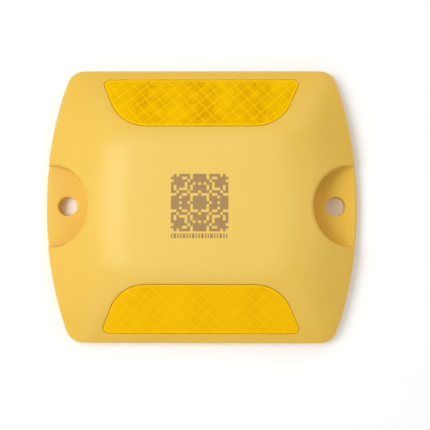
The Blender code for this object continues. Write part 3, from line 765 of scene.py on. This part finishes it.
def make_leads(finishes):
    """Insulated leads from the links at the cells' ends, under the board and into the plug."""
    low, high = (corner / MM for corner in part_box("battery_plug"))
    x, end, z = (low.x + high.x) / 2, high.y, (low.z + high.z) / 2
    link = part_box("cell_link_positive")[1].x / MM + GAP + LEAD_RADIUS
    red = [(link, -6, 9), (link, -9, 7.2), (link - 0.8, -12.5, 5.4), (link - 3.5, -15, z)]
    red += [(x + 6.5, -15.9, z), (x + 2.6, -16.7, z), (x + 1.25, -19, z), (x + 1.25, end - 1, z)]
    black = [(-link, -6, 9), (-link, -9, 7.2), (-link + 0.8, -12.5, 5.4), (-link + 4, -15.5, z)]
    black += [(-14, -17.2, z), (0, -17.8, z), (x - 5.5, -17.6, z), (x - 2.2, -18.1, z)]
    black += [(x - 1.25, -19.8, z), (x - 1.25, end - 1, z)]
    for route, node, slot in (
        (red, "battery_lead_positive", "lead_red"), (black, "battery_lead_negative", "lead_black")
    ):
        curve = bpy.data.curves.new(slot, "CURVE")
        curve.dimensions = "3D"
        curve.bevel_depth = LEAD_RADIUS * MM
        curve.bevel_resolution = 5
        curve.use_fill_caps = True
        curve.materials.append(finishes[slot])
        line = smooth_route([Vector(point) * MM for point in route])
        spline = curve.splines.new("POLY")
        spline.points.add(len(line) - 1)
        for point, where in zip(spline.points, line):
            point.co = (*where, 1)
        spline.use_smooth = True
        obj = bpy.data.objects.new(slot, curve)
        bpy.context.scene.collection.objects.link(obj)
        install(obj, node)


def drop_walls(bm):
    """Extrudes every open edge down to the ground: the outer wall and the walls of the holes."""
    rim = [edge for edge in bm.edges if edge.is_boundary]
    for level, flare in SIDE_LEVELS:
        lower = bmesh.ops.extrude_edge_only(bm, edges=rim)["geom"]
        for vert in lower:
            if isinstance(vert, bmesh.types.BMVert):
                vert.co.z = level * MM
                if math.hypot(abs(vert.co.x) / MM - HOLE_X, vert.co.y / MM) > 2 * HOLE_RADIUS:
                    vert.co.x *= 1 - flare / (LENGTH / 2)
                    vert.co.y *= 1 - flare / (WIDTH / 2)
        rim = [edge for edge in bm.edges if edge.is_boundary]


def make_shell(material):
    """The casing: a fine height field, its walls, and the CAD node's own hollow."""
    seats = [divided(seat_outline(0, end), SHELL_STEP) for end in (1, -1)]
    loops = [rim_ring(inset) for inset in RIM_RINGS]
    for end in (1, -1):
        for inset in SEAT_RINGS:
            loops.append(divided(seat_outline(inset, end), SHELL_STEP))
    turns = np.linspace(0, 2 * math.pi, 65)[:-1]
    for sign in (-1, 1):
        for radius in HOLE_RINGS:
            circle = np.column_stack([sign * HOLE_X + radius * np.cos(turns), radius * np.sin(turns)])
            loops.append(circle)
    arcs = ear_rings(-1) + ear_rings(1)
    free = grid_points((-57, -49.6), (57, 49.6), SHELL_PITCH)
    x, y = free.T
    near = np.hypot(np.abs(x) - EAR_X, y)
    hole = np.hypot(np.abs(x) - HOLE_X, y)
    seat = np.minimum(*[signed_distance(free, seat) for seat in seats])
    mouth = np.array([mouth_radius(math.atan2(abs(q), max(EAR_X - abs(p), 0.01))) for p, q in free])
    keep = (inwards_of(x, y) > 2.3) & (hole > 4.6) & (np.abs(seat + 0.2) > 1.2)
    keep &= (near < EAR_RADIUS - 1.5) | (near > mouth + 2)
    points, faces = triangulated(rim_ring(0), loops, arcs, free[keep])
    distance = np.minimum(*[signed_distance(points, seat) for seat in seats])
    heights = shell_height(points[:, 0], points[:, 1], distance)
    bm = bmesh.new()
    verts = [bm.verts.new((p[0] * MM, p[1] * MM, z * MM)) for p, z in zip(points, heights)]
    for face in faces:
        middle = points[face].mean(0)
        if math.hypot(abs(middle[0]) - HOLE_X, middle[1]) > HOLE_RADIUS * 0.999:
            bm.faces.new([verts[i] for i in face])
    bmesh.ops.delete(bm, geom=[v for v in bm.verts if not v.link_faces], context="VERTS")
    drop_walls(bm)
    add_hollow(bm)
    rim = [edge for edge in bm.edges if edge.is_boundary]
    bmesh.ops.triangle_fill(bm, edges=rim, use_beauty=True, normal=(0, 0, -1))
    return add_object("casing", mesh_from("casing", bm), material, sharp=40)


def make_sheet(name, end, material):
    """A reflector sheet with a rounded edge. Each point's distance from the edge goes with the mesh."""
    loops = [divided(seat_outline(SHEET_GAP + inset, end), SHEET_STEP) for inset in SHEET_RINGS]
    outline = divided(seat_outline(SHEET_GAP, end), SHEET_STEP)
    free = grid_points((-37, 27), (37, 47), SHEET_PITCH) * (1, end)
    free = free[signed_distance(free, outline) < -1.2]
    points, faces = triangulated(outline, loops, [], free)
    distance = -signed_distance(points, outline)
    top = face_height(points[:, 1]) + SHEET_TOP - edge_drop(distance, SHEET_ROUND)
    bm = bmesh.new()
    verts = [bm.verts.new((p[0] * MM, p[1] * MM, z * MM)) for p, z in zip(points, top)]
    for face in faces:
        bm.faces.new([verts[i] for i in face])
    rim = [edge for edge in bm.edges if edge.is_boundary]
    lower = bmesh.ops.extrude_edge_only(bm, edges=rim)["geom"]
    for vert in lower:
        if isinstance(vert, bmesh.types.BMVert):
            vert.co.z = (face_height(vert.co.y / MM) + SHEET_LOW) * MM
    bmesh.ops.triangle_fill(bm, edges=[edge for edge in bm.edges if edge.is_boundary], use_beauty=True)
    mesh = mesh_from(name, bm)
    places = np.array([vert.co[:2] for vert in mesh.vertices]) / MM
    border = mesh.attributes.new("border", "FLOAT", "POINT")
    border.data.foreach_set("value", -signed_distance(places, outline).astype(np.float32))
    return add_object(name, mesh, material, sharp=50)


# Marking


def marking_cells():
    """A block of squares, the same in all four quarters, that encodes nothing."""
    size = MARK_CELLS
    rng = np.random.default_rng(7)
    quarter = rng.random((size // 2 + 1, size // 2 + 1)) < MARK_SHARE
    quarter = quarter | quarter.T
    block = np.zeros((size, size), bool)
    for row in range(size):
        for column in range(size):
            block[row, column] = quarter[min(row, size - 1 - row), min(column, size - 1 - column)]
    return block


def make_marking(material):
    """The block of squares and the row of plain bars, as thin tiles on the crown."""
    pitch = MARK_WIDTH / MARK_CELLS
    middle_x, middle_y = MARK_MIDDLE
    half = MARK_CELLS // 2
    tiles = []
    for row, column in zip(*np.nonzero(marking_cells())):
        x = middle_x + (column - half) * pitch
        y = middle_y + (half - row) * pitch
        tiles.append((x, y, pitch / 2 + MARK_OVERLAP, pitch / 2 + MARK_OVERLAP))
    x = middle_x - MARK_WIDTH / 2
    step = 0
    while x < middle_x + BAR_STOP:
        wide = BAR_WIDTHS[step % len(BAR_WIDTHS)]
        tiles.append((x + wide / 2, BAR_Y, wide / 2, BAR_HALF_HEIGHT))
        x += wide + BAR_GAP
        step += 1
    bm = bmesh.new()
    for x, y, wide, tall in tiles:
        corners = []
        for i, j in ((-1, -1), (1, -1), (1, 1), (-1, 1)):
            p, q = x + i * wide, y + j * tall
            corners.append((p, q, float(form_height(np.float64(p), np.float64(q)))))
        upper = [bm.verts.new((p * MM, q * MM, (z + MARK_PROUD) * MM)) for p, q, z in corners]
        lower = [bm.verts.new((p * MM, q * MM, (z - MARK_SUNK) * MM)) for p, q, z in corners]
        bm.faces.new(upper)
        bm.faces.new(lower[::-1])
        for k in range(4):
            bm.faces.new([upper[k], lower[k], lower[(k + 1) % 4], upper[(k + 1) % 4]])
    return add_object("code_marking", mesh_from("code_marking", bm), material)


# Room


def make_stage():
    """The plain pale floor and the faint light of the room."""
    floor = plain_material("floor_white", (0.955, 0.955, 0.955), 0.9, grain=40, depth=0.0, shift=0.99)
    shader = floor.node_tree.nodes["Principled BSDF"]
    shader.inputs["Specular IOR Level"].default_value = 0.0
    shader.inputs["Emission Color"].default_value = (1, 1, 1, 1)
    shader.inputs["Emission Strength"].default_value = FLOOR_GLOW
    bm = bmesh.new()
    bmesh.ops.create_grid(bm, x_segments=4, y_segments=4, size=FLOOR_SIZE)
    obj = add_object("floor", mesh_from("floor", bm), floor)
    obj.location.z = -FLOOR_DROP * MM
    world = bpy.data.worlds.new("room")
    world.use_nodes = True
    background = world.node_tree.nodes["Background"]
    background.inputs["Color"].default_value = (1, 0.99, 0.97, 1)
    background.inputs["Strength"].default_value = ROOM_STRENGTH
    bpy.context.scene.world = world


def add_soft_box(azimuth, elevation, power):
    """A square light that faces the marker's middle."""
    turn, lift = math.radians(azimuth), math.radians(elevation)
    away = Vector((math.cos(lift) * math.cos(turn), math.cos(lift) * math.sin(turn), math.sin(lift)))
    name = f"softbox_{azimuth}_{elevation}"
    light = bpy.data.lights.new(name, "AREA")
    light.size = BOX_SIZE
    light.energy = power
    obj = bpy.data.objects.new(name, light)
    obj.location = BOX_DISTANCE * away
    obj.rotation_euler = obj.location.to_track_quat("Z", "Y").to_euler()
    bpy.context.scene.collection.objects.link(obj)


def make_camera():
    """A camera above the marker, at the photograph's viewing angle."""
    camera = bpy.data.cameras.new("camera")
    camera.lens = CAMERA_LENS
    camera.sensor_width = 36
    camera.clip_start = 0.01
    obj = bpy.data.objects.new("camera", camera)
    obj.location = [value * MM for value in CAMERA_PLACE]
    back = (obj.location - Vector([value * MM for value in CAMERA_TARGET])).normalized()
    right = Vector(CAMERA_UP).cross(back).normalized()
    obj.rotation_euler = Matrix((right, back.cross(right), back)).transposed().to_euler()
    bpy.context.scene.collection.objects.link(obj)
    bpy.context.scene.camera = obj
    bpy.context.scene.view_settings.view_transform = "Standard"


def main():
    make_camera()
    make_stage()
    for azimuth, elevation, power in STUDIO:
        add_soft_box(azimuth, elevation, power)

    casing = casing_material()
    install(make_shell(casing), "top_shell")
    rear = reflector_material("film_rear", **REAR_FILM)
    front = reflector_material("film_front", **FRONT_FILM)
    install(make_sheet("rear_reflector", 1, rear), "rear_reflector_sheet")
    install(make_sheet("front_reflector", -1, front), "front_reflector_sheet")
    mark = plain_material("laser_mark", (0.40, 0.235, 0.085), 0.55, grain=0.5, depth=0.004)
    install(make_marking(mark), None)

    finishes = finish_materials(casing)
    make_softened(
        "cover", "base_cover", finishes["casing_yellow"], 0.22, COVER_ROUNDS_BELOW)
    for i in range(1, 7):
        make_softened(f"cover_fixing_{i}", f"cover_screw_{i}", finishes["steel"], 0.12)
    for name, node, slot, width in SOFTENED:
        make_softened(name, node, finishes[slot], width)
    make_foam_pad(finishes["foam_black"])
    make_leads(finishes)

    # Every CAD node gets the finish of its slot. Those that no piece replaces are seen.
    for entry in frame["record"]["subparts"]:
        obj = frame["nodes"][entry["node"]]
        obj.data.materials.clear()
        obj.data.materials.append(finishes[entry["material_slot"]])


main()
